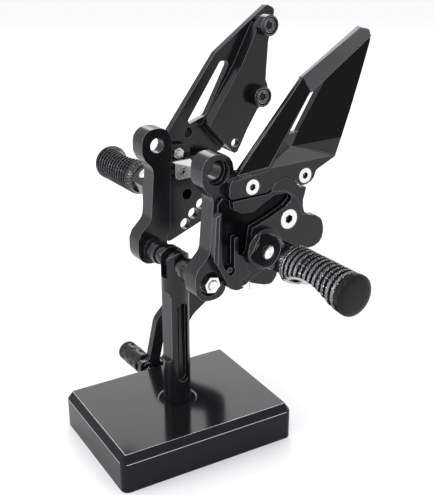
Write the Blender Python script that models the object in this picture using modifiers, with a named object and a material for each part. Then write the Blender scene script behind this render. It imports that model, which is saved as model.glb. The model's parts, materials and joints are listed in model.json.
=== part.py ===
"""A pair of folding rear-set foot pegs, clamped back to back on a display stand.

The frame: the origin is the centre of the stand's underside, +Z is up, +X points to the rear of the
motorcycle, -Y is the near (right-hand) set and +Y the far (left-hand) set. Sizes in this file are
millimetres and become metres in the helpers. On either side a depth is the distance |y| from the
middle plane.
"""
import math

import bmesh
import bpy
from mathutils import Matrix, Vector

MM = 0.001
GAP = 0.3
NEAR, FAR = -1, 1
SIDE_NAME = {NEAR: "near", FAR: "far"}

# Driving dimensions -------------------------------------------------------------------------------
BASE_LENGTH, BASE_WIDTH, BASE_HEIGHT = 163.6, 122.4, 33.8
BASE_CORNER, BASE_CHAMFER_IN, BASE_CHAMFER_DOWN = 6.0, 4.65, 6.85
BASE_TURN = math.radians(-3.7)          # the block stands slightly turned under the post
SEAT_RADIUS, SEAT_DEPTH = 17.0, 1.0
STUD_FOOT, STUD_TOP = 8.0, 58.0         # the threaded stud that joins the post to the base

POST_RADIUS = 11.8
ROD_X, ROD_Z = 0.0, 164.9               # the cross rod's axis, which carries both lower bosses
UPPER_X, UPPER_Z = 6.7, 255.1           # the upper bosses
INNER_FACE = {NEAR: 38.6, FAR: 35.7}    # depth of each bracket's inner face
BRACKET_THICK, STRAP_THICK = 16.0, 5.2
WEB_RECESS = 4.0                        # the rear web lies this far behind the bar's inner face
CARRIER_THICK = 8.0

PEG_AXIS = {NEAR: (43.4, 189.2), FAR: (24.1, 207.8)}    # x, z of each peg's centre line
PEG_PIVOT = {NEAR: 85.3, FAR: 77.0}                     # depth of each hinge pin
PIN_TILT = {NEAR: math.radians(30), FAR: math.radians(58)}
PEG_RADIUS = 16.0
PEG_REACH = {NEAR: 88.8, FAR: 81.4}     # hinge pin to outer end
PLUG_LENGTH = 7.2                       # the part of the end plug that shows
ROOT_START, GRIP_START = 13.6, 19.6     # the plain root and the grooved grip, out from the hinge pin
CHEEK_OUTER, CHEEK_INNER = 12.4, 6.9    # the clevis cheeks, measured along the pin
PIN_RADIUS = 4.6

M8_CARRIER = (70.1, 207.4)
GUARD_SCREWS = {NEAR: [(34.5, 240.6), (86.5, 240.7)], FAR: [(31.5, 242.5)]}
STOP_BOLT = (62.0, 196.5)
POCKET_SCREW = (14.0, 175.5)
STAND_OFFS = [(112.3, 283.5), (118.0, 344.3)]
LEVER_PIVOT = (88.0, 176.0)
LEVER_DEPTH, LEVER_THICK = 68.0, 7.0
TOE = (7.0, 30.8)

# Collections and materials ------------------------------------------------------------------------
for leftover in list(bpy.data.objects):
    bpy.data.objects.remove(leftover, do_unlink=True)

parts = bpy.data.collections.new("rearset_pair_on_stand")
cutters = bpy.data.collections.new("cutters")
bpy.context.scene.collection.children.link(parts)
bpy.context.scene.collection.children.link(cutters)


def material(name, colour, roughness, metallic):
    made = bpy.data.materials.new(name)
    made.use_nodes = True
    shader = made.node_tree.nodes["Principled BSDF"]
    shader.inputs["Base Color"].default_value = (*colour, 1.0)
    shader.inputs["Roughness"].default_value = roughness
    shader.inputs["Metallic"].default_value = metallic
    return made


ANODISED = material("black_anodised", (0.018, 0.018, 0.02), 0.32, 0.6)
PAINTED = material("black_base", (0.012, 0.012, 0.013), 0.22, 0.0)
STAINLESS = material("stainless", (0.78, 0.77, 0.75), 0.25, 1.0)
BLACK_STEEL = material("black_steel", (0.02, 0.02, 0.02), 0.4, 0.8)
PLASTIC = material("black_plastic", (0.015, 0.015, 0.016), 0.5, 0.0)


# Modelling helpers --------------------------------------------------------------------------------
def place(obj, collection=parts):
    for holder in list(obj.users_collection):
        holder.objects.unlink(obj)
    collection.objects.link(obj)
    return obj


def part(obj, name, finish):
    """Give a finished solid its node name and its material."""
    obj.name = name
    obj.data.name = name
    obj.data.materials.clear()
    obj.data.materials.append(finish)
    obj.data.shade_smooth()
    obj.data.set_sharp_from_angle(angle=math.radians(34))
    return place(obj)


def new_object(mesh, name="piece"):
    return place(bpy.data.objects.new(name, mesh))


def from_bmesh(bm, name="piece"):
    bmesh.ops.recalc_face_normals(bm, faces=bm.faces)
    mesh = bpy.data.meshes.new(name)
    bm.to_mesh(mesh)
    bm.free()
    return new_object(mesh, name)


def baked(obj):
    """Replace an object by the plain mesh that its modifiers or its curve evaluate to."""
    bpy.context.view_layer.update()
    evaluated = obj.evaluated_get(bpy.context.evaluated_depsgraph_get())
    mesh = bpy.data.meshes.new_from_object(evaluated)
    bm = bmesh.new()
    bm.from_mesh(mesh)
    bmesh.ops.remove_doubles(bm, verts=bm.verts, dist=0.00001)
    bm.to_mesh(mesh)
    bm.free()
    made = new_object(mesh)
    made.matrix_world = obj.matrix_world.copy()
    bpy.data.objects.remove(obj, do_unlink=True)
    return made


def rounded(corners):
    """Turn (x, z, radius) corners into outline points, with an arc at each rounded corner."""
    points = []
    count = len(corners)
    for index, corner in enumerate(corners):
        here = Vector(corner[:2])
        radius = corner[2] if len(corner) > 2 else 0.0
        before = Vector(corners[index - 1][:2]) - here
        after = Vector(corners[(index + 1) % count][:2]) - here
        half = before.angle(after) / 2
        if radius <= 0.01 or half > math.radians(88):
            points.append(here)
            continue
        reach = min(radius / math.tan(half), before.length * 0.49, after.length * 0.49)
        radius = reach * math.tan(half)
        middle = (before.normalized() + after.normalized()).normalized()
        centre = here + middle * (radius / math.sin(half))
        first = here + before.normalized() * reach - centre
        sweep = math.pi - 2 * half
        turn = 1 if before.x * after.y - before.y * after.x < 0 else -1
        pieces = max(1, round(math.degrees(sweep) / (22.5 if radius > 9 else 34)))
        for k in range(pieces + 1):
            angle = turn * sweep * k / pieces
            points.append(centre + Matrix.Rotation(angle, 2) @ first)
    return points


def plate(corners, side, depth_in, depth_out, holes=()):
    """A flat plate in the XZ plane between two depths; holes are more corner lists."""
    curve = bpy.data.curves.new("outline", "CURVE")
    curve.dimensions = "2D"
    curve.fill_mode = "BOTH"
    curve.extrude = (depth_out - depth_in) / 2 * MM
    for loop in [corners, *holes]:
        points = rounded(loop)
        spline = curve.splines.new("POLY")
        spline.points.add(len(points) - 1)
        for target, point in zip(spline.points, points):
            target.co = (point.x * MM, point.y * MM, 0, 1)
        spline.use_cyclic_u = True
    obj = place(bpy.data.objects.new("outline", curve))
    obj.location.y = side * (depth_in + depth_out) / 2 * MM
    obj.rotation_euler.x = math.radians(90)
    return baked(obj)


def basis(axis):
    """A rotation that turns +Z to an axis."""
    return Vector((0, 0, 1)).rotation_difference(Vector(axis)).to_matrix().to_4x4()


def cylinder(start, end, radius, sides=20):
    """A closed cylinder between two points."""
    start, end = Vector(start) * MM, Vector(end) * MM
    bm = bmesh.new()
    bmesh.ops.create_cone(bm, cap_ends=True, segments=sides, radius1=radius * MM, radius2=radius * MM,
                          depth=(end - start).length)
    obj = from_bmesh(bm)
    obj.matrix_world = Matrix.Translation((start + end) / 2) @ basis(end - start)
    return obj


def across(x, z, side, depth_in, depth_out, radius, sides=20):
    """A cylinder along Y between two depths of one side."""
    return cylinder((x, side * depth_in, z), (x, side * depth_out, z), radius, sides)


def box(low, high, bevel=0.0, edges_along=None, segments=3):
    """A box between two corners, with the edges along one axis, or all edges, rounded."""
    low, high = Vector(low) * MM, Vector(high) * MM
    bm = bmesh.new()
    bmesh.ops.create_cube(bm, size=1.0)
    size = high - low
    bmesh.ops.transform(bm, matrix=Matrix.Diagonal((*size, 1)), verts=bm.verts)
    if bevel:
        chosen = list(bm.edges)
        if edges_along is not None:
            chosen = [e for e in chosen
                      if abs((e.verts[0].co - e.verts[1].co).normalized()[edges_along]) > 0.9]
        bmesh.ops.bevel(bm, geom=chosen, offset=bevel * MM, segments=segments, profile=0.5,
                        affect="EDGES", clamp_overlap=True)
    obj = from_bmesh(bm)
    obj.location = (low + high) / 2
    return obj


def hull(points):
    """The convex solid around some points."""
    bm = bmesh.new()
    for point in points:
        bm.verts.new(Vector(point) * MM)
    made = bmesh.ops.convex_hull(bm, input=bm.verts)
    unused = {item for item in made["geom_interior"] + made["geom_unused"]
              if isinstance(item, bmesh.types.BMVert)}
    bmesh.ops.delete(bm, geom=list(unused), context="VERTS")
    return from_bmesh(bm)


def slab(side, depth_points):
    """A convex solid from (x, z, depth) points of one side."""
    return hull([(x, side * depth, z) for x, z, depth in depth_points])


def turned(profile, origin, axis, sides=24):
    """A turned solid: (radius, height) points from top to bottom, closed on the axis."""
    mesh = bpy.data.meshes.new("profile")
    mesh.from_pydata([(r * MM, 0, h * MM) for r, h in profile],
                     [(k, k + 1) for k in range(len(profile) - 1)], [])
    obj = new_object(mesh)
    screw = obj.modifiers.new("turn", "SCREW")
    screw.axis = "Z"
    screw.steps = sides
    screw.render_steps = sides
    screw.use_merge_vertices = True
    screw.merge_threshold = 0.00001
    obj.matrix_world = Matrix.Translation(Vector(origin) * MM) @ basis(axis)
    return baked(obj)


def combine(target, others, operation="DIFFERENCE"):
    """Cut or join other solids, then keep the plain result."""
    for other in others:
        boolean = target.modifiers.new("boolean", "BOOLEAN")
        boolean.operation = operation
        boolean.solver = "EXACT"
        boolean.object = other
        place(other, cutters)
        other.hide_render = True
        other.display_type = "WIRE"
    made = baked(target)
    for other in others:
        bpy.data.objects.remove(other, do_unlink=True)
    return made


def cut(target, *others):
    return combine(target, others)


def join(target, *others):
    return combine(target, others, "UNION")


def each(name, pieces, finish):
    """Name a row of identical pieces, numbered when there is more than one."""
    for number, piece in enumerate(pieces, 1):
        part(piece, name if len(pieces) == 1 else f"{name}_{number}", finish)


def outer(side):
    """Depth of a bracket's outer face."""
    return INNER_FACE[side] + BRACKET_THICK


# Fasteners ----------------------------------------------------------------------------------------
def hexagon(x, z, side, depth_in, depth_out, across_flats, turn=0.0):
    """A hexagonal prism along Y."""
    obj = across(x, z, side, depth_in, depth_out, across_flats / math.sqrt(3), 6)
    obj.matrix_world = obj.matrix_world @ Matrix.Rotation(turn, 4, "Z")
    return obj


def nut(x, z, side, depth_in, depth_out, across_flats, bore, turn=0.0):
    return cut(hexagon(x, z, side, depth_in, depth_out, across_flats, turn),
               across(x, z, side, depth_in - 1, depth_out + 1, bore, 12))


def washer(x, z, side, depth_in, depth_out, radius, bore):
    return cut(across(x, z, side, depth_in, depth_out, radius, 24),
               across(x, z, side, depth_in - 1, depth_out + 1, bore, 12))


def countersunk(x, z, side, face, tip, head, shank):
    """A flat-head socket screw whose head is flush with an outer face."""
    cone = head - shank
    profile = [(0, 0), (head, 0), (head, -0.6), (shank, -0.6 - cone), (shank, tip - face), (0, tip - face)]
    screw = turned(profile, (x, side * face, z), (0, side, 0), 16)
    return cut(screw, hexagon(x, z, side, face - head * 0.62, face + 1, head * 0.75))


def countersink(x, z, side, face, tip, head, shank):
    """The room for such a screw, one gap larger all round."""
    cone = head - shank
    profile = [(0, 2), (head + GAP, 2), (head + GAP, -0.6 - GAP), (shank + GAP, -0.6 - cone - GAP),
               (shank + GAP, tip - face - GAP), (0, tip - face - GAP)]
    return turned(profile, (x, side * face, z), (0, side, 0), 16)


def socket_bolt(start, axis, head_radius, head_height, shank, length, sides=14):
    """A socket-head cap bolt: the head's seat is at start, and the head points along axis."""
    chamfer = head_radius * 0.12
    profile = [(0, head_height), (head_radius - chamfer, head_height), (head_radius, head_height - chamfer),
               (head_radius, 0), (shank, 0), (shank, -length), (0, -length)]
    bolt = turned(profile, start, axis, sides)
    top = Vector(start) + Vector(axis).normalized() * (head_height + 1)
    floor = Vector(start) + Vector(axis).normalized() * head_height * 0.4
    return cut(bolt, cylinder(floor, top, head_radius * 0.62, 6))


# Stand --------------------------------------------------------------------------------------------
def stand():
    body_height = BASE_HEIGHT - BASE_CHAMFER_DOWN
    bm = bmesh.new()
    bmesh.ops.create_cube(bm, size=1.0)
    bmesh.ops.transform(bm, verts=bm.verts, matrix=Matrix.Translation((0, 0, body_height / 2 * MM)) @
                        Matrix.Diagonal((BASE_LENGTH * MM, BASE_WIDTH * MM, body_height * MM, 1)))
    upright = [e for e in bm.edges if abs(e.verts[0].co.z - e.verts[1].co.z) > 0.001]
    bmesh.ops.bevel(bm, geom=upright, offset=BASE_CORNER * MM, segments=4, profile=0.5, affect="EDGES")
    top = [f for f in bm.faces if f.normal.z > 0.9]
    bmesh.ops.inset_region(bm, faces=top, thickness=BASE_CHAMFER_IN * MM)
    for vert in top[0].verts:
        vert.co.z += BASE_CHAMFER_DOWN * MM
    block = from_bmesh(bm)
    block.rotation_euler.z = BASE_TURN
    seat = BASE_HEIGHT - SEAT_DEPTH
    block = cut(block,
                cylinder((0, 0, seat), (0, 0, BASE_HEIGHT + 2), SEAT_RADIUS, 32),
                cylinder((0, 0, STUD_FOOT - GAP), (0, 0, BASE_HEIGHT + 2), 5.3, 12))
    part(block, "stand_base", PAINTED)

    foot = seat + GAP
    fork_floor, fork_half = 153.0, 4.5
    flat_bottom, flat_top, flat_half = 74.5, 140.5, 7.7
    groove_half, groove_bottom, groove_top, groove_depth = 4.5, 55.5, 130.5, 4.5
    post = cylinder((0, 0, foot), (0, 0, ROD_Z + POST_RADIUS + 3), POST_RADIUS, 32)
    silhouette = [(-POST_RADIUS - 1, foot - 1), (POST_RADIUS + 1, foot - 1),
                  (POST_RADIUS + 1, ROD_Z + POST_RADIUS, POST_RADIUS + 1),
                  (-POST_RADIUS - 1, ROD_Z + POST_RADIUS, POST_RADIUS + 1)]
    post = combine(post, [plate(silhouette, FAR, -20, 20)], "INTERSECT")
    flat_plane = math.sqrt(POST_RADIUS ** 2 - flat_half ** 2)
    flats = [box((sign * flat_plane if sign > 0 else -20, -flat_half, flat_bottom),
                 (20 if sign > 0 else sign * flat_plane, flat_half, flat_top), 5.0, 0, 4)
             for sign in (-1, 1)]
    grooves = [box((-groove_half, min(s * (POST_RADIUS - groove_depth), s * 20), groove_bottom),
                   (groove_half, max(s * (POST_RADIUS - groove_depth), s * 20), groove_top),
                   groove_half * 0.98, 1, 5) for s in (NEAR, FAR)]
    spot_faces = [across(ROD_X, ROD_Z, s, 10.0, 20, 8.75, 24) for s in (NEAR, FAR)]
    post = cut(post, *flats, *grooves, *spot_faces,
               box((-20, -fork_half, fork_floor), (20, fork_half, ROD_Z + 40), 1.5, 0, 2),
               across(ROD_X, ROD_Z, FAR, -20, 20, 4.5, 16),
               cylinder((0, 0, foot - 1), (0, 0, STUD_TOP + 4), 5.3, 12))
    part(post, "stand_post", ANODISED)

    part(cylinder((0, 0, STUD_FOOT), (0, 0, STUD_TOP), 5.0, 12), "post_stud", BLACK_STEEL)
    ring = cut(across(ROD_X, ROD_Z, FAR, -4.1, 4.1, 8.0, 20), across(ROD_X, ROD_Z, FAR, -6, 6, 4.5, 12))
    part(ring, "fork_spacer", BLACK_STEEL)


def rod_and_spacers():
    counterbore_floor = {s: outer(s) - 5.5 for s in (NEAR, FAR)}
    ends = {s: outer(s) + 4.2 for s in (NEAR, FAR)}
    rod = cylinder((ROD_X, -ends[NEAR], ROD_Z), (ROD_X, ends[FAR], ROD_Z), 4.0, 16)
    part(rod, "cross_rod", STAINLESS)
    for s in (NEAR, FAR):
        name = SIDE_NAME[s]
        start, end = 10.0 + GAP, INNER_FACE[s] - GAP
        length = end - start
        waist = length * 0.55
        shape = [(6.2, 0), (7.6, 1.6), (8.2, 4.5), (8.2, 8), (7.3, 9), (9.8, 9.6), (9.8, 13.5), (8.6, 14.2),
                 (8.6, waist + 2.5), (9.8, waist + 3.2), (9.8, length - 5), (8.8, length - 4.2),
                 (8.8, length - 2.2), (10.4, length - 1.6), (10.4, length)]
        profile = [(4.4, length)] + shape[::-1] + [(4.4, 0), (4.4, length)]
        spacer = turned(profile, (ROD_X, s * start, ROD_Z), (0, s, 0), 16)
        part(spacer, f"{name}_spacer", BLACK_STEEL)
        floor = counterbore_floor[s]
        part(washer(ROD_X, ROD_Z, s, floor + GAP, floor + 1.9, 8.5, 4.4), f"{name}_rod_washer", BLACK_STEEL)
        part(nut(ROD_X, ROD_Z, s, floor + 2.2, floor + 8.4, 13.0, 4.35, 0.3), f"{name}_rod_nut", STAINLESS)


# Brackets -----------------------------------------------------------------------------------------
BAR = [(UPPER_X - 14.5, UPPER_Z + 14.5, 14.5), (UPPER_X + 14.5, UPPER_Z + 14.5, 14.5),
       (21.2, 243, 6), (19.2, 235, 3), (17.6, 178, 6), (14.5, 172, 5), (14.5, ROD_Z - 14.5, 14.5),
       (-14.5, ROD_Z - 14.5, 14.5), (-14.5, 177, 9), (-0.9, 190, 10), (2.8, 236, 10), (-7.8, 246, 9)]
WEB = [(12, 239, 0), (62, 239, 3), (84, 236, 8), (78, 218, 6), (70, 196, 5), (55, 178.3, 3),
       (20.8, 165.9, 1), (17.9, 165.7, 0), (12, 172, 0)]
STRAP = [(14, 234, 0), (96, 234, 8), (94, 249, 7), (14, 250.5, 2)]
ADJUST_HOLES = [(37.9, 205.5), (35.8, 178.3), (44.1, 186.5), (52.4, 193.6)]

FAR_WEB_STEP = [(25, 158, 0), (25, 184, 3), (31, 186.3, 3), (39.8, 194, 3), (45, 202, 3), (57, 204, 3), (66, 190.5, 3),
                (84, 188, 0), (84, 158, 0)]     # the thinner outer side round the spare holes


def bracket(s):
    inner, out = INNER_FACE[s], outer(s)
    strap_end, web_end = (96, 84) if s == NEAR else (46, 78)
    strap = [(min(x, strap_end), z, r) for x, z, r in STRAP]
    web = [(min(x, web_end), z, r) for x, z, r in WEB]
    body = join(plate(BAR, s, inner, out),
                plate(web, s, inner + WEB_RECESS, out - 0.02),
                plate(strap, s, out - STRAP_THICK, out - 0.04))
    holes = [across(x, z, s, inner - 2, out + 2, 5.1, 12) for x, z in ADJUST_HOLES]
    guard_holes = [across(x, z, s, inner - 2, out + 2, 3.3, 12) for x, z in GUARD_SCREWS[s]]
    nut_rooms = [across(x, z, s, inner - 2, out - STRAP_THICK - 0.05, 6.8, 12) for x, z in GUARD_SCREWS[s]]
    thinner = [plate(FAR_WEB_STEP, s, out - 5.3, out + 3)] if s == FAR else []
    stop_hole = [across(*STOP_BOLT, s, inner - 2, out - 2, 2.8, 12)] if s == NEAR else []
    body = cut(body, *thinner, *holes, *guard_holes, *nut_rooms, *stop_hole,
               across(*PEG_AXIS[s], s, out - 5.6, out + 2, 8.0, 16),
               across(ROD_X, ROD_Z, s, inner - 2, out + 2, 4.4, 12),
               across(ROD_X, ROD_Z, s, out - 5.5, out + 2, 10.4, 20),
               across(UPPER_X, UPPER_Z, s, inner - 2, out + 2, 6.4, 16),
               across(UPPER_X, UPPER_Z, s, out - 6.0, out + 2, 10.2, 20),
               across(*M8_CARRIER, s, inner - 2, out + 2, 4.3, 12),
               across(*POCKET_SCREW, s, inner + 5.0, out + 2, 2.2, 12))
    part(body, f"{SIDE_NAME[s]}_bracket", ANODISED)


# Near carrier -------------------------------------------------------------------------------------
NEAR_CARRIER = [(4.4, 231.5, 3), (9.2, 235.8, 2), (14.5, 232.7, 2), (50.5, 232.7, 4), (57.5, 240.6, 4),
                (65.5, 243.6, 6), (75, 239.6, 8), (81.5, 231.7, 2), (88.4, 231.5, 1.5), (84.6, 218, 9),
                (87.2, 208.5, 5), (94.5, 206.0, 3), (101.5, 204.5, 8), (106.6, 196, 10), (106.6, 184, 10),
                (100, 177.6, 8), (86, 177.6, 5), (73, 184.0, 2), (61, 180, 3), (57.5, 171.5, 5), (48.2, 167.4, 2),
                (36.2, 162.4, 2), (30.5, 158.3, 4), (19, 157.2, 5), (12.6, 160.6, 2), (-0.8, 186.0, 2),
                (1.2, 222, 1.5), (4.4, 226, 1)]
POCKET = [(5.0, 186, 5), (8, 176.3, 6), (16.6, 176.3, 6), (16.6, 203, 1), (20.2, 203, 1), (20.2, 188.5, 1),
          (30, 183, 4), (33.5, 207.5, 1), (50.5, 212.8, 4), (66, 219, 3), (74, 225.5, 3), (66.5, 230.4, 4),
          (55, 231, 8), (33.5, 220.7, 5), (24, 221.2, 4), (15.8, 226.5, 3), (13.4, 244, 0), (0, 240, 0),
          (4.6, 224, 2)]
RIM_STEP = [(76.5, 225.5, 3), (81.5, 217.5, 3), (83.2, 208.5, 1), (92, 208.5, 0), (92, 246, 0),
            (47, 246, 0), (53.5, 233.4, 5), (66, 232.4, 4)]
LOWER_STEP = [(21.5, 164.3, 1), (33.3, 169.4, 2), (28.2, 174, 2), (29.4, 180.5, 2), (43, 172, 0),
              (64, 172, 0), (64, 150, 0), (32, 150, 0)]


def near_carrier():
    s = NEAR
    back, face = outer(s) + GAP, outer(s) + GAP + CARRIER_THICK
    axis_x, axis_z = PEG_AXIS[s]
    body = plate(NEAR_CARRIER, s, back, face)
    body = cut(body,
               plate(POCKET, s, face - 5.2, face + 3),
               plate(RIM_STEP, s, face - 1.6, face + 3),
               plate(LOWER_STEP, s, face - 3.4, face + 3),
               slab(s, [(-6, 183, face - 3), (-6, 224, face - 3), (-6, 183, face + 2), (-6, 224, face + 2),
                        (2.6, 183, face + 2), (4.6, 224, face + 2), (-1.2, 183, face - 3),
                        (0.9, 224, face - 3)]),
               across(*POCKET_SCREW, s, back - 2, face + 2, 2.2, 12),
               across(*POCKET_SCREW, s, face - 5.25, face + 2, 3.6, 16),
               across(axis_x, axis_z, s, back - 2, face + 2, 5.4, 20),
               countersink(*M8_CARRIER, s, face, back - 3, 8.4, 4.0))
    part(body, "near_carrier", ANODISED)
    bracket_floor = INNER_FACE[s] + WEB_RECESS
    bolt = countersunk(*M8_CARRIER, s, face - 0.2, bracket_floor, 8.4, 4.0)
    part(bolt, "near_carrier_bolt", STAINLESS)
    pocket_screw = socket_bolt((POCKET_SCREW[0], -(face - 5.25 + GAP), POCKET_SCREW[1]), (0, -1, 0), 2.8, 3.0, 1.9, 13)
    part(pocket_screw, "near_carrier_screw", BLACK_STEEL)


# Far carrier --------------------------------------------------------------------------------------
FAR_CARRIER = [(4.6, 187.5, 15), (4.6, 226, 15), (38, 233, 8), (70, 233, 8), (84, 226, 6), (86, 206, 8),
               (101, 190, 12), (101, 163, 12), (76, 163, 12), (70, 190, 8), (58, 206, 5), (44, 204, 5),
               (38.5, 195, 4), (30, 188, 6)]


def far_carrier():
    s = FAR
    back, face = outer(s) + GAP, outer(s) + GAP + CARRIER_THICK
    axis_x, axis_z = PEG_AXIS[s]
    body = plate(FAR_CARRIER, s, back, face)
    body = cut(body,
               across(axis_x, axis_z, s, PEG_PIVOT[s] - 22.4, face + 2, 17.3, 28),
               across(axis_x, axis_z, s, back - 2, face + 2, 5.4, 20),
               across(*LEVER_PIVOT, s, back - 2, face + 2, 4.3, 20),
               countersink(*M8_CARRIER, s, face, back - 3, 8.4, 4.0))
    part(body, "far_carrier", ANODISED)
    bolt = countersunk(*M8_CARRIER, s, face - 0.2, INNER_FACE[s] + WEB_RECESS, 8.4, 4.0)
    part(bolt, "far_carrier_bolt", STAINLESS)


# Heel guards --------------------------------------------------------------------------------------
def near_guard():
    s = NEAR
    back, tab_face, rim_face = outer(s) + GAP, 61.5, 66.0
    panel_back, panel_face = 50.0, 55.5
    tab = [(12.6, 234, 4), (49.8, 233.4, 4), (57, 241.4, 4), (65.6, 244.4, 6), (75.6, 240.2, 8),
           (80.4, 234, 4), (86.5, 232.4, 6), (94.8, 236, 5), (97.5, 243.6, 3), (116.5, 251.6, 0.5),
           (116.5, 253, 0), (50, 253, 0), (19.2, 255.4, 1), (12.8, 246.5, 5)]
    panel = [(72, 258, 0), (80.5, 274, 2), (100.5, 305, 2), (112, 322, 0), (143, 350.8, 2),
             (152.6, 350.6, 5), (153.4, 341, 4), (145.7, 315.8, 30), (135.9, 286.2, 30), (128.1, 264.8, 20),
             (122.2, 249.6, 1), (100, 251, 0)]
    arm_low = slab(s, [(16, 247, back + 0.1), (26.4, 256, back + 0.1), (82.3, 319.6, back + 0.1),
                       (84.5, 309.5, back + 0.1), (63, 280.5, back + 0.1), (50, 259, back + 0.1),
                       (46, 250, back + 0.1),
                       (14.5, 248, 61.3), (18.8, 256, 62.5), (76.7, 321.7, rim_face), (16.2, 254.1, rim_face),
                       (84.5, 309.5, rim_face), (63, 280.5, rim_face),
                       (46, 256, rim_face), (50, 251.5, 61.8)])
    arm_high = slab(s, [(84.8, 317.9, panel_back + 0.2), (143.4, 352.4, panel_back + 0.2),
                        (149.4, 349.9, panel_back + 0.2), (151.4, 345.5, panel_back + 0.2),
                        (86.5, 308.5, panel_back + 0.2),
                        (75.5, 321.8, rim_face - 0.1), (132.4, 354.0, rim_face - 0.1),
                        (140.3, 351.4, rim_face - 0.1), (144.2, 346.4, rim_face - 0.1),
                        (84.2, 309, rim_face - 0.1), (86, 308.8, rim_face - 0.1)])
    filler = slab(s, [(52, 262, panel_back + 0.4), (61.5, 277, panel_back + 0.4), (83, 276.2, panel_back + 0.4),
                      (77, 262, panel_back + 0.4), (83, 276.2, panel_face - 0.3), (77, 262, panel_face - 0.3),
                      (52, 262, 60), (61.5, 277, 60)])
    shelf = slab(s, [(48, 251.9, tab_face - 0.1), (116.2, 252.1, tab_face - 0.1), (58, 257, panel_face - 0.2),
                     (66, 266.5, panel_face - 0.2), (73, 266.0, panel_face - 0.2), (119.4, 251.9, panel_face - 0.2),
                     (48.4, 251, panel_back + 0.3), (58.2, 257, panel_back + 0.3),
                     (66, 266.2, panel_back + 0.3), (73, 265.7, panel_back + 0.3),
                     (119, 251.3, panel_back + 0.3)])
    body = join(plate(tab, s, back, tab_face), arm_low, arm_high,
                plate(panel, s, panel_back, panel_face), shelf, filler)
    sinks = [countersink(x, z, s, tab_face, back - 3, 6.4, 3.0) for x, z in GUARD_SCREWS[s]]
    part(cut(body, *sinks), "near_heel_guard", ANODISED)


def far_guard():
    s = FAR
    frame_back, frame_face, slab_back = outer(s) + GAP, 58.0, 40.0
    frame = [(47, 233.8, 8), (54, 248, 8), (54, 262, 1), (66, 262, 0), (74, 268, 0),
             (98, 305, 0), (118, 335, 0), (134, 340, 3), (139.5, 354.6, 4), (130.2, 359.1, 3),
             (76, 322.3, 2), (28.8, 262.2, 1), (20.5, 250, 4), (20.5, 233.8, 7)]
    slot = [(81, 314.7, 2), (88.4, 314.7, 2), (89.1, 310.6, 1), (71.8, 279.8, 3), (65.6, 269.2, 4),
            (48.6, 264.0, 1), (47.4, 266.9, 1)]
    block = [(61.6, 262.2, 1), (94.6, 310.6, 0), (112.5, 343.5, 2), (122, 352.5, 5), (127.5, 343, 8),
             (123.4, 330, 4), (121.4, 296, 3), (124.5, 290, 8), (122.5, 274, 9), (113.5, 271.5, 3),
             (102, 254, 0), (94.2, 239.5, 4), (89.5, 232.2, 4)]
    pocket = [(68.5, 263.5, 2), (98.5, 309.5, 2), (115.5, 339, 2), (119, 332, 3), (117, 297, 3),
              (104, 284, 8), (108, 272, 3), (97.5, 254.5, 0), (94.6, 249, 0), (108, 247, 0),
              (98, 224, 0), (88.6, 227, 0), (86.6, 241.6, 1)]
    fill = [(40, 235, 1), (83, 233.9, 3), (86, 239, 2), (70, 264, 0), (64, 262.8, 0), (50, 262.8, 0)]
    body = join(plate(frame, s, frame_back, frame_face, [slot]),
                plate(block, s, slab_back, frame_face - 0.02),
                plate(fill, s, frame_back + 2.6, frame_face - 0.05))
    body = cut(body,
               plate(pocket, s, slab_back + 5.5, frame_face + 3),
               across(88.8, 243.6, s, slab_back - 2, frame_face + 3, 3.8, 12),
               across(47.4, 256.8, s, frame_back - 2, frame_back + 4.0, 4.3, 16),
               *[across(x, z, s, slab_back - 2, slab_back + 14, 3.4, 12) for x, z in STAND_OFFS],
               *[countersink(x, z, s, frame_face, frame_back - 3, 6.4, 3.0) for x, z in GUARD_SCREWS[s]])
    part(body, "far_heel_guard", ANODISED)
    sleeves, bolts = [], []
    for x, z in STAND_OFFS:
        profile = [(3.4, 10), (8.0, 10), (9.2, 9.2), (9.2, 1.0), (8.4, GAP), (3.4, GAP), (3.4, 10)]
        origin = (x, s * slab_back, z)
        sleeve = turned(profile, origin, (0, -s, 0), 16)
        seat = cylinder((x, s * (slab_back - 6.5), z), (x, s * (slab_back - 12), z), 7.2, 20)
        sleeves.append(cut(sleeve, seat))
        bolts.append(socket_bolt((x, s * (slab_back - 6.5 - GAP), z), (0, -s, 0), 6.6, 2.6, 3.0, 17))
    each("far_standoff", sleeves, ANODISED)
    each("far_standoff_bolt", bolts, BLACK_STEEL)


def guard_fasteners():
    for s in (NEAR, FAR):
        face = 61.5 if s == NEAR else 58.0
        name = SIDE_NAME[s]
        strap_back = outer(s) - STRAP_THICK
        screws = [countersunk(x, z, s, face - 0.2, strap_back - 5.2, 6.4, 3.0) for x, z in GUARD_SCREWS[s]]
        each(f"{name}_guard_screw", screws, STAINLESS)
        nuts = [nut(x, z, s, strap_back - 4.6, strap_back - GAP, 9.4, 3.3, 0.2)
                for x, z in GUARD_SCREWS[s]]
        each(f"{name}_guard_nut", nuts, STAINLESS)


# Folding pegs -------------------------------------------------------------------------------------
def peg_frame(s):
    """The peg's outward, pin and tread directions, and the hinge point."""
    tilt = PIN_TILT[s]
    out = Vector((0, s, 0))
    pin = Vector((-math.cos(tilt), 0, math.sin(tilt)))
    tread = pin.cross(out)
    x, z = PEG_AXIS[s]
    return out, pin, tread, Vector((x, s * PEG_PIVOT[s], z))


def local_plate(s, corners, low, high):
    """A plate in the plane of (outward, tread), between two places along the pin."""
    out, pin, tread, hinge = peg_frame(s)
    obj = plate(corners, FAR, low, high)
    mesh = obj.data
    turn = Matrix((out, pin, tread)).transposed().to_4x4()
    mesh.transform(Matrix.Translation(hinge * MM) @ turn @ obj.matrix_world)
    mesh.flip_normals()
    obj.matrix_world = Matrix()
    return obj


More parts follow.
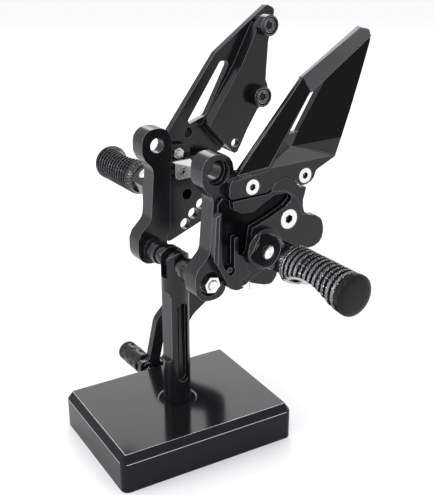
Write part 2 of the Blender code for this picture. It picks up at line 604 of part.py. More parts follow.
def peg(s):
    name = SIDE_NAME[s]
    out, pin, tread, hinge = peg_frame(s)

    def at(along, up=0.0, side=0.0):
        return hinge + out * along + tread * up + pin * side

    # Mount: a round flange on the carrier, a neck, and the two cheeks of the clevis.
    flange_in, flange_out = -22.1, -16.9
    mount = turned([(0, flange_out + 22.1 + 1.4), (13.4, flange_out + 22.1 + 1.3), (14.2, 5.2 + 0.6),
                    (16.2, 5.2), (17, 4.4), (17, 0.8), (16.4, 0), (0, 0)],
                   at(flange_in), out, 20)
    cheek = [(-17.55, -9.3, 0), (-10.2, -12.25, 4), (12.25, -12.25, 12.25), (12.25, 12.25, 12.25),
             (-10.2, 12.25, 4), (-17.55, 9.3, 0)]
    neck = cylinder(at(-17.2), at(-13.4), 13.0, 20)
    mount = join(mount, neck,
                 local_plate(s, cheek, CHEEK_INNER, CHEEK_OUTER),
                 local_plate(s, cheek, -CHEEK_OUTER, -CHEEK_INNER))
    mount = cut(mount, cylinder(at(0, 0, -20), at(0, 0, 20), PIN_RADIUS + GAP, 16),
                cylinder(at(flange_in - 2), at(-15.2), 4.3, 12))
    part(mount, f"{name}_peg_mount", ANODISED)

    bolt_length = PEG_PIVOT[s] - 15.6 - outer(s)
    part(socket_bolt((hinge.x, s * outer(s), hinge.z), (0, -s, 0), 7.4, 4.0, 4.0, bolt_length),
         f"{name}_peg_bolt", BLACK_STEEL)

    # Grip: tongue, tapered root and a grooved barrel with a scooped underside.
    reach = PEG_REACH[s]
    grip_end = reach - PLUG_LENGTH
    groove_count, groove_half, groove_depth = 11, 1.0, 1.1
    pitch = (grip_end - GRIP_START) / (groove_count + 1)
    profile = [(0, grip_end), (PEG_RADIUS - 0.4, grip_end), (PEG_RADIUS, grip_end - 0.6)]
    for k in range(groove_count):
        centre = grip_end - pitch * (k + 1)
        profile += [(PEG_RADIUS, centre + groove_half), (PEG_RADIUS - groove_depth, centre),
                    (PEG_RADIUS, centre - groove_half)]
    profile += [(PEG_RADIUS, GRIP_START + 0.6), (PEG_RADIUS - 1.0, GRIP_START), (14.6, GRIP_START - 0.2),
                (13.0, ROOT_START), (0, ROOT_START)]
    barrel = turned(profile, hinge, out, 16)
    scoop_radius, scoop_floor = 50.0, 6.0
    middle = (ROOT_START + grip_end) / 2 + 1
    scoop = cylinder(at(middle, -scoop_floor - scoop_radius, -30), at(middle, -scoop_floor - scoop_radius, 30),
                     scoop_radius, 64)
    tongue = [(-11, -11, 11), (ROOT_START + 4, -11, 0), (ROOT_START + 4, 11, 0), (-11, 11, 11)]
    grip = join(barrel, local_plate(s, tongue, -CHEEK_INNER + GAP, CHEEK_INNER - GAP))
    spring_room = cylinder(at(0, 0, 0), at(0, 0, 9), 9.2, 20)
    grip = cut(grip, scoop, cylinder(at(0, 0, -20), at(0, 0, 20), PIN_RADIUS + GAP, 16), spring_room,
               cylinder(at(grip_end - 12), at(grip_end + 2), 6.4, 12),
               cylinder(at(GRIP_START + 8, -30), at(GRIP_START + 8, -9.5), 4.2, 12))
    part(grip, f"{name}_peg_grip", ANODISED)

    # Pin with a head towards the outside and a groove for the clip at its other end.
    head, tail = CHEEK_OUTER + GAP, -CHEEK_OUTER
    pin_profile = [(0, head + 2.9), (3.2, head + 2.5), (5.2, head + 1.5), (6.2, head), (PIN_RADIUS, head),
                   (PIN_RADIUS, tail - 0.4), (3.4, tail - 0.4), (3.4, tail - 1.7), (PIN_RADIUS, tail - 1.7),
                   (PIN_RADIUS, tail - 2.4), (0, tail - 2.4)]
    part(turned(pin_profile, hinge, pin, 16), f"{name}_peg_pin", STAINLESS)
    clip = cut(cylinder(at(0, 0, tail - 1.4), at(0, 0, tail - 0.7), 6.8, 16),
               cylinder(at(0, 0, tail - 3), at(0, 0, tail + 1), 3.7, 12))
    part(clip, f"{name}_pin_clip", BLACK_STEEL)

    # Return spring: three turns round the pin, inside the tongue.
    coil, wire, turns, per_turn = 7.0, 0.7, 3, 8
    bottom = wire + GAP
    curve = bpy.data.curves.new("spring", "CURVE")
    curve.dimensions = "3D"
    curve.bevel_depth = wire * MM
    curve.bevel_resolution = 1
    curve.use_fill_caps = True
    spline = curve.splines.new("POLY")
    spline.points.add(turns * per_turn)
    for k, point in enumerate(spline.points):
        angle = 2 * math.pi * k / per_turn
        rise = bottom + k / per_turn * (2 * wire + 0.15)
        point.co = (*(at(coil * math.cos(angle), coil * math.sin(angle), rise) * MM), 1)
    part(baked(place(bpy.data.objects.new("spring", curve))), f"{name}_peg_spring", STAINLESS)

    # End plug, domed, pressed into the bored end of the grip.
    rim = PLUG_LENGTH
    dome = [(0, rim), (8, rim - 0.4), (14.2, rim - 1.9), (15.8, rim - 3.2), (16.2, rim - 4.6),
            (16.2, 0.9), (15.6, GAP), (6.0, GAP), (6.0, -10), (0, -10)]
    part(turned(dome, at(grip_end), out, 20), f"{name}_end_plug", PLASTIC)


# Shift lever, toe peg and the small bright and black pieces ---------------------------------------
LEVER = [(-1, 22, 7), (20, 18.5, 6), (31, 28, 4), (46, 56, 14), (59, 73, 12), (70, 80, 14), (96, 97, 18),
         (97, 150, 20), (98.5, 187, 10.5), (77.5, 187, 10.5), (78, 150, 16), (76, 112, 14), (60, 103, 16),
         (30, 90, 12), (18, 78, 8), (8.5, 36, 10), (-1, 39, 7)]
LEVER_WINDOW = [(19.6, 31.5, 2), (26.5, 33.5, 3), (44, 66, 10), (60, 86, 8), (40, 80, 9), (26.5, 63, 5)]


def shift_lever():
    s = FAR
    depth_in, depth_out = LEVER_DEPTH - LEVER_THICK / 2, LEVER_DEPTH + LEVER_THICK / 2
    lever = plate(LEVER, s, depth_in, depth_out, [LEVER_WINDOW])
    lever = cut(lever, across(*LEVER_PIVOT, s, depth_in - 2, depth_out + 2, 6.3, 24),
                across(*TOE, s, depth_in - 2, depth_out + 2, 3.3, 12),
                across(*TOE, s, depth_in - 2, depth_in + 3.7, 5.4, 16))
    part(lever, "shift_lever", ANODISED)
    x, z = LEVER_PIVOT
    face = outer(s) + GAP + CARRIER_THICK
    bush = cut(across(x, z, s, face + GAP, depth_out + 0.5, 6.0, 24),
               across(x, z, s, face - 1, depth_out + 2, 4.3, 20))
    part(bush, "lever_bush", STAINLESS)
    part(socket_bolt((x, s * (depth_out + 0.8), z), (0, s, 0), 8.0, 4.5, 4.0, depth_out + 0.8 - outer(s) - 1),
         "lever_pivot_bolt", BLACK_STEEL)

    toe_x, toe_z = TOE
    start, end = depth_out + GAP, 106.3
    length = end - start
    profile = [(0, length), (8.4, length), (9.6, length - 1.2), (9.8, length - 2.4)]
    for ring in range(3):
        top = length - 5 - ring * 9.5
        profile += [(9.8, top), (9.0, top - 0.8), (9.0, top - 1.8), (9.8, top - 2.6)]
    profile += [(9.8, 1.2), (9.0, 0), (0, 0)]
    toe = turned(profile, (toe_x, s * start, toe_z), (0, s, 0), 16)
    toe = cut(toe, cylinder((toe_x, s * (start - 2), toe_z), (toe_x, s * (start + 16), toe_z), 3.3, 16))
    part(toe, "toe_peg", ANODISED)
    seat = depth_in + 3.4
    part(socket_bolt((toe_x, s * seat, toe_z), (0, -s, 0), 5.0, 3.0, 3.0, depth_out - seat + 15),
         "toe_peg_bolt", BLACK_STEEL)


def clamp_block():
    s = FAR
    inner = INNER_FACE[s] + WEB_RECESS - GAP
    outline = [(21.6, 223.5, 3), (38.5, 223.5, 1), (40.5, 227, 1), (40.5, 238.2, 1), (21.6, 238.2, 1)]
    block = plate(outline, s, inner - 8.2, inner)
    bevel = slab(s, [(18, 242, inner - 10), (44, 242, inner - 10), (18, 238.9, inner - 10), (44, 230, inner - 10),
                     (18, 242, inner - 2), (44, 242, inner - 2), (18, 239, inner - 2), (44, 238.5, inner - 2)])
    block = cut(block, bevel, across(29.0, 230.0, s, inner - 12, inner + 3, 3.3, 20))
    part(block, "far_clamp_block", STAINLESS)
    screw = turned([(0, 9), (2.2, 9), (3.0, 8.2), (3.0, 0), (0, 0)], (29.0, s * (inner - 0.2), 230.0), (0, -s, 0), 20)
    socket = cylinder((29.0, s * (inner - 5.5), 230.0), (29.0, s * (inner - 12), 230.0), 1.5, 6)
    part(cut(screw, socket), "far_clamp_screw", BLACK_STEEL)


def stop_plate():
    s = NEAR
    thick, screw_x, screw_foot = 6.0, 50.6, 141.6
    outline = [(54, 200, 4), (52, 180, 6), (46.4, 165, 4), (46.4, 149.5, 4), (62, 143.6, 1), (70, 142.6, 5),
               (76, 150, 4), (73, 165, 6), (70, 180, 8), (70, 203, 5)]
    seat = INNER_FACE[s] + WEB_RECESS - GAP
    middle = seat - thick / 2
    body = cut(plate(outline, s, seat - thick, seat),
               across(*STOP_BOLT, s, seat - thick - 2, seat + 2, 2.8, 12),
               cylinder((screw_x, s * middle, screw_foot - 4), (screw_x, s * middle, 160), 2.1, 12))
    part(body, "near_stop_plate", ANODISED)
    bolt_x, bolt_z = STOP_BOLT
    part(socket_bolt((bolt_x, s * (seat - thick - GAP), bolt_z), (0, -s, 0), 4.2, 4.0, 2.5, 13), "near_stop_bolt",
         BLACK_STEEL)
    part(cylinder((screw_x, s * middle, screw_foot), (screw_x, s * middle, 159), 1.8, 12), "near_stop_screw",
         STAINLESS)


stand()
rod_and_spacers()
for side in (NEAR, FAR):
    bracket(side)
    peg(side)
near_carrier()
far_carrier()
near_guard()
far_guard()
guard_fasteners()
shift_lever()
clamp_block()
stop_plate()
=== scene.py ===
"""Rear-set foot pegs on a display stand: materials, fine detail, floor, light and camera.

Lengths are millimetres, and become metres where an object is made. A name that ends in _M
or _m is in metres.
"""
import json
import math

import bmesh
import bpy
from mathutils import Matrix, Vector


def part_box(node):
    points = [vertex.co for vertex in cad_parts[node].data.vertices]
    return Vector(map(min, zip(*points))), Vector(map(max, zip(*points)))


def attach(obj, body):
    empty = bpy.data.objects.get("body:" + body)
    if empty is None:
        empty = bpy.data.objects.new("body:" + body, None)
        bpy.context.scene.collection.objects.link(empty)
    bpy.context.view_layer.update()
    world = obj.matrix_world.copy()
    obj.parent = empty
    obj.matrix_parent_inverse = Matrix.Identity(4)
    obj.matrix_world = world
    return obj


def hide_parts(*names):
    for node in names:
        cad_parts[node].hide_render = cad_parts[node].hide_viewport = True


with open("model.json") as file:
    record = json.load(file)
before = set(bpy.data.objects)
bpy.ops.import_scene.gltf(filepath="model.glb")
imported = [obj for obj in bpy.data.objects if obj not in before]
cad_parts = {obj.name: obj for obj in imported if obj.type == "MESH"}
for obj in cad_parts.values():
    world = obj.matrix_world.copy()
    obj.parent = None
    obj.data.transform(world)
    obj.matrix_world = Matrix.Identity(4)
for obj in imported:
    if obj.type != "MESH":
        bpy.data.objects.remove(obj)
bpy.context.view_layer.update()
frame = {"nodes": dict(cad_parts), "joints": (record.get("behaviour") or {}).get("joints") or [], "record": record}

MM = 0.001
joints = {joint["name"]: joint for joint in frame["joints"]}
slots = {sub["node"]: sub["material_slot"] for sub in frame["record"]["subparts"]}


def mm(length_m):
    """A measure of the frame in millimetres, to a hundredth."""
    return round(length_m / MM, 2)


# Camera -------------------------------------------------------------------------------------------
CAMERA_PLACE = (-356.3, -591.6, 461.6)
CAMERA_DOWN = 22.39                     # degrees below level
CAMERA_TURN = -34.02                    # degrees about the vertical, from looking along +y
SENSOR_WIDTH, FOCAL_LENGTH = 36.0, 65.43
FARTHEST_SEEN_M = 20.0


def add_camera():
    """The camera looks down at the whole set from the front, a little to its left."""
    data = bpy.data.cameras.new("camera")
    data.sensor_width = SENSOR_WIDTH
    data.lens = FOCAL_LENGTH
    data.clip_end = FARTHEST_SEEN_M
    camera = bpy.data.objects.new("camera", data)
    bpy.context.scene.collection.objects.link(camera)
    camera.location = Vector(CAMERA_PLACE) * MM
    camera.rotation_euler = (math.radians(90 - CAMERA_DOWN), 0.0, math.radians(CAMERA_TURN))
    bpy.context.scene.camera = camera
    bpy.context.scene.view_settings.view_transform = "Standard"


# Floor, world and lights --------------------------------------------------------------------------
FLOOR_RADIUS_M, FLOOR_DROP_M = 6.0, 0.0002
FLOOR_COLOUR, FLOOR_ROUGH = (0.95, 0.95, 0.955, 1), 0.65
WORLD_COLOUR, WORLD_STRENGTH = (0.99, 0.99, 1.0, 1), 1.0
LIGHTS_M = (                            # name, place, aim, diameter; then the power in watts
    ("key", (-0.7, -1.1, 1.7), (0.0, 0.0, 0.18), 0.8, 9.0),
    ("left", (-1.5, 0.3, 0.8), (0.0, 0.0, 0.2), 0.7, 7.0),
    ("back", (0.8, 1.4, 1.3), (0.0, 0.0, 0.2), 1.0, 9.0),
)


def add_floor():
    """A wide pale disc just under the base."""
    bm = bmesh.new()
    bmesh.ops.create_circle(bm, cap_ends=True, segments=96, radius=FLOOR_RADIUS_M)
    mesh = bpy.data.meshes.new("floor")
    bm.to_mesh(mesh)
    bm.free()
    floor = bpy.data.objects.new("floor", mesh)
    bpy.context.scene.collection.objects.link(floor)
    floor.location.z = -FLOOR_DROP_M
    white = bpy.data.materials.new("floor_white")
    white.use_nodes = True
    shader = white.node_tree.nodes["Principled BSDF"]
    shader.inputs["Base Color"].default_value = FLOOR_COLOUR
    shader.inputs["Roughness"].default_value = FLOOR_ROUGH
    mesh.materials.append(white)


def add_world():
    """An even, nearly white surround."""
    world = bpy.data.worlds.new("studio")
    bpy.context.scene.world = world
    world.use_nodes = True
    background = world.node_tree.nodes["Background"]
    background.inputs["Color"].default_value = WORLD_COLOUR
    background.inputs["Strength"].default_value = WORLD_STRENGTH


def add_lights():
    """Three soft round lights."""
    for name, place, aim, diameter, power in LIGHTS_M:
        data = bpy.data.lights.new(name, "AREA")
        data.shape = "DISK"
        data.size = diameter
        data.energy = power
        light = bpy.data.objects.new(name, data)
        bpy.context.scene.collection.objects.link(light)
        light.location = place
        light.rotation_euler = (Vector(aim) - Vector(place)).to_track_quat("-Z", "Y").to_euler()


add_camera()
add_floor()
add_world()
add_lights()

# Materials ----------------------------------------------------------------------------------------
SLOW_SCALE = 22.0                       # patches of slow change in tone, per metre
RELIEF_STRENGTH = 0.25
SMOOTHEST = 0.02


def make_finish(name, colour, rough, metallic=0.0, spread=0.06, grain=900.0, bump=0.012,
                streak=(1, 1, 1), mottle=0.12, specular=0.5):
    """A metal or plastic finish: fine grain in bump and roughness, and a slow change in tone."""
    made = bpy.data.materials.new(name)
    made.use_nodes = True
    nodes, links = made.node_tree.nodes, made.node_tree.links
    shader = nodes["Principled BSDF"]
    shader.inputs["Metallic"].default_value = metallic
    shader.inputs["Specular IOR Level"].default_value = specular
    place = nodes.new("ShaderNodeTexCoord")
    stretch = nodes.new("ShaderNodeMapping")
    stretch.inputs["Scale"].default_value = streak
    links.new(place.outputs["Object"], stretch.inputs["Vector"])

    fine = nodes.new("ShaderNodeTexNoise")
    fine.inputs["Scale"].default_value = grain
    fine.inputs["Detail"].default_value = 3.0
    links.new(stretch.outputs["Vector"], fine.inputs["Vector"])
    slow = nodes.new("ShaderNodeTexNoise")
    slow.inputs["Scale"].default_value = SLOW_SCALE
    slow.inputs["Detail"].default_value = 4.0
    links.new(place.outputs["Object"], slow.inputs["Vector"])

    tone = nodes.new("ShaderNodeMapRange")
    tone.inputs["To Min"].default_value = 1.0 - mottle
    tone.inputs["To Max"].default_value = 1.0 + mottle
    links.new(slow.outputs["Fac"], tone.inputs["Value"])
    paint = nodes.new("ShaderNodeVectorMath")
    paint.operation = "SCALE"
    paint.inputs[0].default_value = colour
    links.new(tone.outputs["Result"], paint.inputs["Scale"])
    links.new(paint.outputs["Vector"], shader.inputs["Base Color"])

    both = nodes.new("ShaderNodeMath")
    both.operation = "ADD"
    links.new(fine.outputs["Fac"], both.inputs[0])
    links.new(slow.outputs["Fac"], both.inputs[1])
    sheen = nodes.new("ShaderNodeMapRange")
    sheen.inputs["From Max"].default_value = 2.0
    sheen.inputs["To Min"].default_value = max(rough - spread, SMOOTHEST)
    sheen.inputs["To Max"].default_value = rough + spread
    links.new(both.outputs["Value"], sheen.inputs["Value"])
    links.new(sheen.outputs["Result"], shader.inputs["Roughness"])

    relief = nodes.new("ShaderNodeBump")
    relief.inputs["Strength"].default_value = RELIEF_STRENGTH
    relief.inputs["Distance"].default_value = bump * MM
    links.new(fine.outputs["Fac"], relief.inputs["Height"])
    links.new(relief.outputs["Normal"], shader.inputs["Normal"])
    return made


# The finish of each material slot.
FINISH = {
    "black_anodised": make_finish("black_anodised", (0.007, 0.007, 0.008), 0.20, bump=0.015, specular=0.34),
    "black_base": make_finish("black_base", (0.008, 0.008, 0.009), 0.12, spread=0.04, grain=500,
                              bump=0.006, specular=0.14),
    "stainless": make_finish("stainless", (0.80, 0.795, 0.78), 0.22, metallic=1.0, spread=0.08, grain=700,
                             bump=0.01, mottle=0.06),
    "black_steel": make_finish("black_steel", (0.006, 0.006, 0.007), 0.12, specular=0.45),
    "black_plastic": make_finish("black_plastic", (0.004, 0.004, 0.0045), 0.26, spread=0.05, grain=1500,
                                 bump=0.02, specular=0.2),
}
# The brighter line along the edges of each material slot: a painted highlight, standing for light caught on the
# edges.
EDGE_HIGHLIGHT = {
    "black_anodised": make_finish("edge_anodised", (0.15, 0.15, 0.155), 0.22, metallic=1.0, bump=0.01,
                                  specular=0.8),
    "black_base": make_finish("edge_base", (0.5, 0.5, 0.51), 0.25, metallic=1.0, bump=0.01, specular=0.8),
    "stainless": make_finish("edge_stainless", (0.62, 0.62, 0.61), 0.25, metallic=1.0, bump=0.01),
    "black_steel": make_finish("edge_steel", (0.40, 0.40, 0.40), 0.2, metallic=1.0, bump=0.01, specular=0.8),
    "black_plastic": make_finish("edge_plastic", (0.03, 0.03, 0.03), 0.4, bump=0.01),
}
BARE = make_finish("bare_aluminium", (0.62, 0.62, 0.63), 0.34, metallic=1.0, spread=0.08, grain=600,
                   bump=0.02, streak=(1, 8, 1), mottle=0.08)
KNURL = make_finish("knurled_black", (0.006, 0.006, 0.007), 0.26, bump=0.01, specular=0.45)
# Knurl crowns: worn bare metal, brightened further as a painted glint.
TIPS = make_finish("knurl_tips", (0.75, 0.75, 0.76), 0.22, metallic=1.0, bump=0.01, mottle=0.5,
                   specular=0.8)
# The same crowns darker on the far peg: painted shade.
SHADED_TIPS = make_finish("knurl_tips_dull", (0.16, 0.16, 0.165), 0.3, metallic=1.0, bump=0.01, mottle=0.5,
                        specular=0.8)
# Inside hex sockets: a rougher, barely reflecting near-black, painted shade in the recess.
SOCKET = make_finish("socket_shadow", (0.006, 0.006, 0.006), 0.45, specular=0.2)
# Near-black with hardly any reflection: painted shade in the carrier's pocket, on shaded faces of the near guard
# and in the grips' grooves.
SHADE_BLACK = make_finish("deep_black", (0.003, 0.003, 0.0035), 0.16, bump=0.008, specular=0.06)
# Brushed grain, and a lighter colour that is a painted highlight on the upper front face of the near guard.
BRUSHED_HIGHLIGHT = make_finish("brushed_black", (0.05, 0.05, 0.053), 0.28, metallic=0.5, spread=0.12, grain=260,
                      bump=0.2, streak=(1, 1, 9), mottle=0.5, specular=0.7)
# A mid-dark satin colour: painted highlight on the near guard's upward ledge, and painted shade standing in for
# the bare scoop on the far peg.
SATIN_PAINTED_LIGHT = make_finish("satin_black", (0.055, 0.053, 0.052), 0.34, metallic=0.2, bump=0.02, specular=0.6)

# Carried-over CAD nodes ---------------------------------------------------------------------------
# The places of the finishes in a CAD node's list.
OWN, EDGE_HIGHLIGHT_LINE, IN_SOCKET_SHADE, IN_SHADE, BRUSHED_HIGHLIGHT_FACE, SATIN_PAINTED_LIGHT_FACE = range(6)

# How deep a kind of screw's socket is, and how far it reaches from the screw's axis.
SOCKETS = {"guard_screw": (4.0, 2.9), "carrier_bolt": (5.3, 3.9), "standoff_bolt": (2.0, 3.9)}

# The near heel guard: how far out its faces lie from the middle of the stand, and their heights.
GUARD_FRONT = 65.2                      # its front faces lie beyond this
# above this height the guard's front faces take the painted highlight, below it painted shade
GUARD_BRUSHED_HIGHLIGHT_ABOVE = 315.0
GUARD_PANEL = (55.2, 56.2)              # the sunk panel lies between these
# above this height the sunk panel takes painted shade
GUARD_PANEL_ABOVE = 266.0
GUARD_LEDGE = (50.0, 61.4)              # the ledge under the panel lies between these
GUARD_LEDGE_HEIGHTS = (251.0, 275.0)
GUARD_LEDGE_BEHIND = 60.0
# ledge faces turned up this much take the painted highlight
LEDGE_UPWARD = 0.25                     # the least upward part of the ledge's normal

# this pocket floor takes painted shade
CARRIER_POCKET = (57.5, 58.0)           # the near carrier's pocket floor lies between these
FACING_OUT = -0.9                       # the most that such a floor's normal has along y

EDGE_WIDTH, EDGE_ANGLE = 0.28, 34
WELD_GAP = 0.06
FLAT_WITHIN = 1.0                       # degrees


def find_socket(name):
    """A screw's socket: the x and z of its axis, the y of the head's end, its depth and its reach."""
    for kind, (depth, reach) in SOCKETS.items():
        if kind in name:
            low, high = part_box(name)
            head_at_high_y = name.startswith("far") and kind != "standoff_bolt"
            head = high.y if head_at_high_y else low.y
            return mm((low.x + high.x) / 2), mm((low.z + high.z) / 2), mm(head), depth, reach
    return None


def region(name, face, socket):
    """Which finish a face of a CAD node takes, as its place in the node's list: painted shade in sockets, in the
    carrier's pocket and on parts of the near guard, a painted highlight on the guard's upper front face and upward
    ledge, else its own.
    """
    x, y, z = (value / MM for value in face.center)
    if socket:
        at_x, at_z, head, depth, reach = socket
        # faces inside a screw's socket take painted shade
        if math.hypot(x - at_x, z - at_z) < reach and 0.1 < abs(y - head) < depth + 0.3:
            return IN_SOCKET_SHADE
    if name == "near_heel_guard":
        if y < -GUARD_FRONT:
            return BRUSHED_HIGHLIGHT_FACE if z > GUARD_BRUSHED_HIGHLIGHT_ABOVE else IN_SHADE
        if GUARD_PANEL[0] < -y < GUARD_PANEL[1] and z > GUARD_PANEL_ABOVE:
            return IN_SHADE
        on_ledge = GUARD_LEDGE[0] < -y < GUARD_LEDGE[1] and x > GUARD_LEDGE_BEHIND
        if on_ledge and face.normal.z > LEDGE_UPWARD and GUARD_LEDGE_HEIGHTS[0] < z < GUARD_LEDGE_HEIGHTS[1]:
            return SATIN_PAINTED_LIGHT_FACE
    if name == "near_carrier" and CARRIER_POCKET[0] < -y < CARRIER_POCKET[1] and face.normal.y < FACING_OUT:
        return IN_SHADE
    return OWN


def edge_break(obj, width, angle):
    """A small rounded edge that catches the light."""
    edge = obj.modifiers.new("edge", "BEVEL")
    edge.width = width * MM
    edge.segments = 2
    edge.limit_method = "ANGLE"
    edge.angle_limit = math.radians(angle)
    return edge


def dress(obj, slot_name):
    """Give a CAD node its finishes, smooth curved faces and a brighter line along its edges, a painted highlight.
    """
    mesh = obj.data
    mesh.materials.clear()
    for made in (FINISH[slot_name], EDGE_HIGHLIGHT[slot_name], SOCKET, SHADE_BLACK, BRUSHED_HIGHLIGHT, SATIN_PAINTED_LIGHT):
        mesh.materials.append(made)
    socket = find_socket(obj.name)
    for face in mesh.polygons:
        face.use_smooth = True
        face.material_index = region(obj.name, face, socket)
    weld = obj.modifiers.new("weld", "WELD")
    weld.merge_threshold = WELD_GAP * MM
    planar = obj.modifiers.new("planar", "DECIMATE")
    planar.decimate_type = "DISSOLVE"
    planar.angle_limit = math.radians(FLAT_WITHIN)
    planar.delimit = {"MATERIAL"}
    edge = edge_break(obj, EDGE_WIDTH, EDGE_ANGLE)
    edge.use_clamp_overlap = obj.name.endswith("spring")
    # the bevel faces take the brighter edge colour, a painted highlight
    edge.material = EDGE_HIGHLIGHT_LINE
    normals = obj.modifiers.new("flats", "WEIGHTED_NORMAL")
    normals.mode = "FACE_AREA"
    normals.weight = 100
    normals.keep_sharp = False


for node, obj in frame["nodes"].items():
    dress(obj, slots[node])


# Meshes of the pieces that take a CAD node's place ------------------------------------------------
def new_piece(name, verts, faces, finishes, body, indices=None, smooth=True):
    """A mesh piece from points in metres, with its finishes and the body it moves with."""
    mesh = bpy.data.meshes.new(name)
    mesh.from_pydata(verts, [], faces)
    bm = bmesh.new()
    bm.from_mesh(mesh)
    if indices:
        for face, index in zip(bm.faces, indices):
            face.material_index = index
    bmesh.ops.recalc_face_normals(bm, faces=bm.faces)
    for face in bm.faces:
        face.smooth = smooth
    bm.to_mesh(mesh)
    bm.free()
    for made in finishes:
        mesh.materials.append(made)
    piece = bpy.data.objects.new(name, mesh)
    bpy.context.scene.collection.objects.link(piece)
    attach(piece, body)
    return piece


def band(low, high, steps):
    """The quads between two rings of points, whose first points have the numbers low and high."""
    quads = []
    for k in range(steps):
        n = (k + 1) % steps
        quads.append((low + k, low + n, high + n, high + k))
    return quads


def lathe(name, node, body, slot_name, profile, origin, axis, steps=96, sunk=None):
    """A turned piece from (radius, height) points, closed round a bore when the last point is the first."""
    turn = Vector((0, 0, 1)).rotation_difference(Vector(axis)).to_matrix()
    verts, faces = [], []
    for radius, height in profile:
        for k in range(steps):
            angle = 2 * math.pi * k / steps
            here = radius - (sunk(angle, height) if sunk else 0.0)
            spot = Vector((here * math.cos(angle), here * math.sin(angle), height))
            verts.append((Vector(origin) + turn @ spot) * MM)
    last = (len(profile) - 1) * steps
    for low in range(0, last, steps):
        faces += band(low, low + steps, steps)
    if profile[0] == profile[-1]:
        faces += band(last, 0, steps)
    else:
        faces.append(tuple(range(steps)))
        faces.append(tuple(range(last, last + steps)))
    piece = new_piece(name, verts, faces, [FINISH[slot_name]], body)
    weld = piece.modifiers.new("weld", "WELD")
    weld.merge_threshold = 0.01 * MM
    edge_break(piece, 0.15, 40)
    normals = piece.modifiers.new("flats", "WEIGHTED_NORMAL")
    normals.weight = 100
    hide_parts(node)


# Peg grips ----------------------------------------------------------------------------------------
PLUG_LENGTH = 7.2                       # the part of the end plug that shows
ROOT_START, GRIP_START = 13.6, 19.6     # out from the hinge pin
GROOVES, GROOVE_RADIUS = 11, 14.0
GROOVE_HALF, RING_MARGIN = 0.85, 1.15   # from a groove's middle to its floor's edge and to the next ring
END_MARGIN = 0.5                        # the same for the first and last rings' outer ends
AROUND, ROWS = 144, 10                  # points round the grip, and rows of faces in a ring
DIAMONDS, DIAMONDS_PER_MM = 32, 0.62    # round the grip, and along it
VALLEY_RADIUS, RISE, CROWN = 15.1, 0.86, 0.6
# crowns above this take the worn colour with its painted glint
TIP_ABOVE = 0.58                        # the part of a diamond's height above which it is worn
SCOOP_RADIUS, SCOOP_FLOOR = 50.0, 6.0
SCOOP_SKIN = 0.02                       # keeps the scoop just inside the CAD surface
HOLE_ALONG, HOLE_RADIUS, HOLE_DEPTH = 8.0, 4.2, 4.5
TONGUE_HALF, TONGUE_NOSE, TONGUE_ROOT = 6.6, 11.0, 17.0
BORE, SPRING_ROOM = 4.9, 9.2
BLACK_FACE, SCOOP_FACE, TIP_FACE, GROOVE_SHADE_FACE = range(4)


def peg_axes(joint):
    """A peg's hinge point in metres, and its outward, pin and tread directions."""
    hinge = Vector(joint["pos_m"])
    out = Vector((0, math.copysign(1.0, hinge.y), 0))
    pin = Vector(joint["axis"]).normalized()
    return hinge, out, pin, pin.cross(out)


def grip_end(side):
    """How far a grip's metal reaches from its hinge pin, from the outer face of its end plug."""
    low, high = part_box(f"{side}_end_plug")
    outermost = max(-low.y, high.y)
    return mm(outermost - abs(joints[f"{side}_peg_fold"]["pos_m"][1])) - PLUG_LENGTH


def diamond(along, k):
    """How high the knurl stands at a place along the grip and k points round it, from 0 to 1."""
    waves = []
    for hand in (1, -1):
        waves.append(abs(((along * DIAMONDS_PER_MM + hand * k * DIAMONDS / AROUND) % 1.0) - 0.5) * 2)
    return min(waves)


def grip_stations(end):
    """(distance out from the pin, radius) along the grip, with no radius where it is knurled."""
    pitch = (end - GRIP_START) / (GROOVES + 1)
    stations = [(ROOT_START + 0.1, 13.0), (16.5, 13.8), (GRIP_START - 0.3, 14.7), (GRIP_START + 0.1, 15.1)]
    root = len(stations)
    for ring in range(GROOVES + 1):
        low = GRIP_START + ring * pitch + (END_MARGIN if ring == 0 else RING_MARGIN)
        high = GRIP_START + (ring + 1) * pitch - (END_MARGIN if ring == GROOVES else RING_MARGIN)
        for row in range(ROWS + 1):
            stations.append((low + (high - low) * row / ROWS, None))
        if ring < GROOVES:
            middle = GRIP_START + (ring + 1) * pitch
            stations += [(middle - GROOVE_HALF, GROOVE_RADIUS), (middle + GROOVE_HALF, GROOVE_RADIUS)]
    stations.append((end - 0.05, 15.0))
    return stations, root


